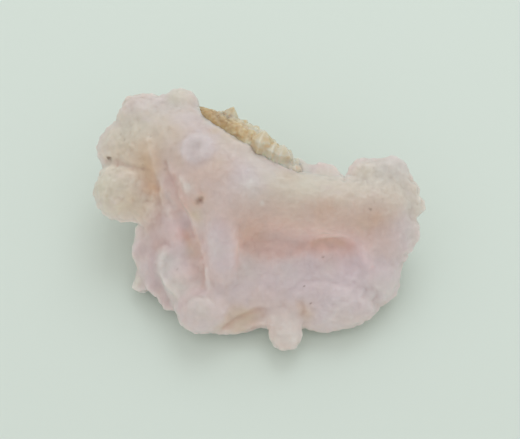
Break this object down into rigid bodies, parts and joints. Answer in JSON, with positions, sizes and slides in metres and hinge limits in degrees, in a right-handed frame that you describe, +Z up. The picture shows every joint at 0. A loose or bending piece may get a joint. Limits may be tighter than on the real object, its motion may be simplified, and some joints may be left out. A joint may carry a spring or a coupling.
{
  "type": "chalcedony specimen",
  "caption": "Pink chalcedony hand specimen of flowing folds and rounded bubbles on a flat break, with a crust of small pointed quartz crystals behind its ridge.",
  "frame": {"origin": "middle of the specimen's box, at the height of the flat break it rests on", "axes": "+X along the specimen towards the end with the two horns, -Y towards the display side with the projecting finger, +Z up from the surface it rests on"},
  "size_m": [0.0612, 0.0468, 0.0236],
  "materials": {
    "pink_chalcedony": "satin",
    "cream_quartz": "gloss"
  },
  "bodies": {
    "root": {"chalcedony": "pink_chalcedony", "quartz_crust": "cream_quartz"}
  },
  "joints": []
}
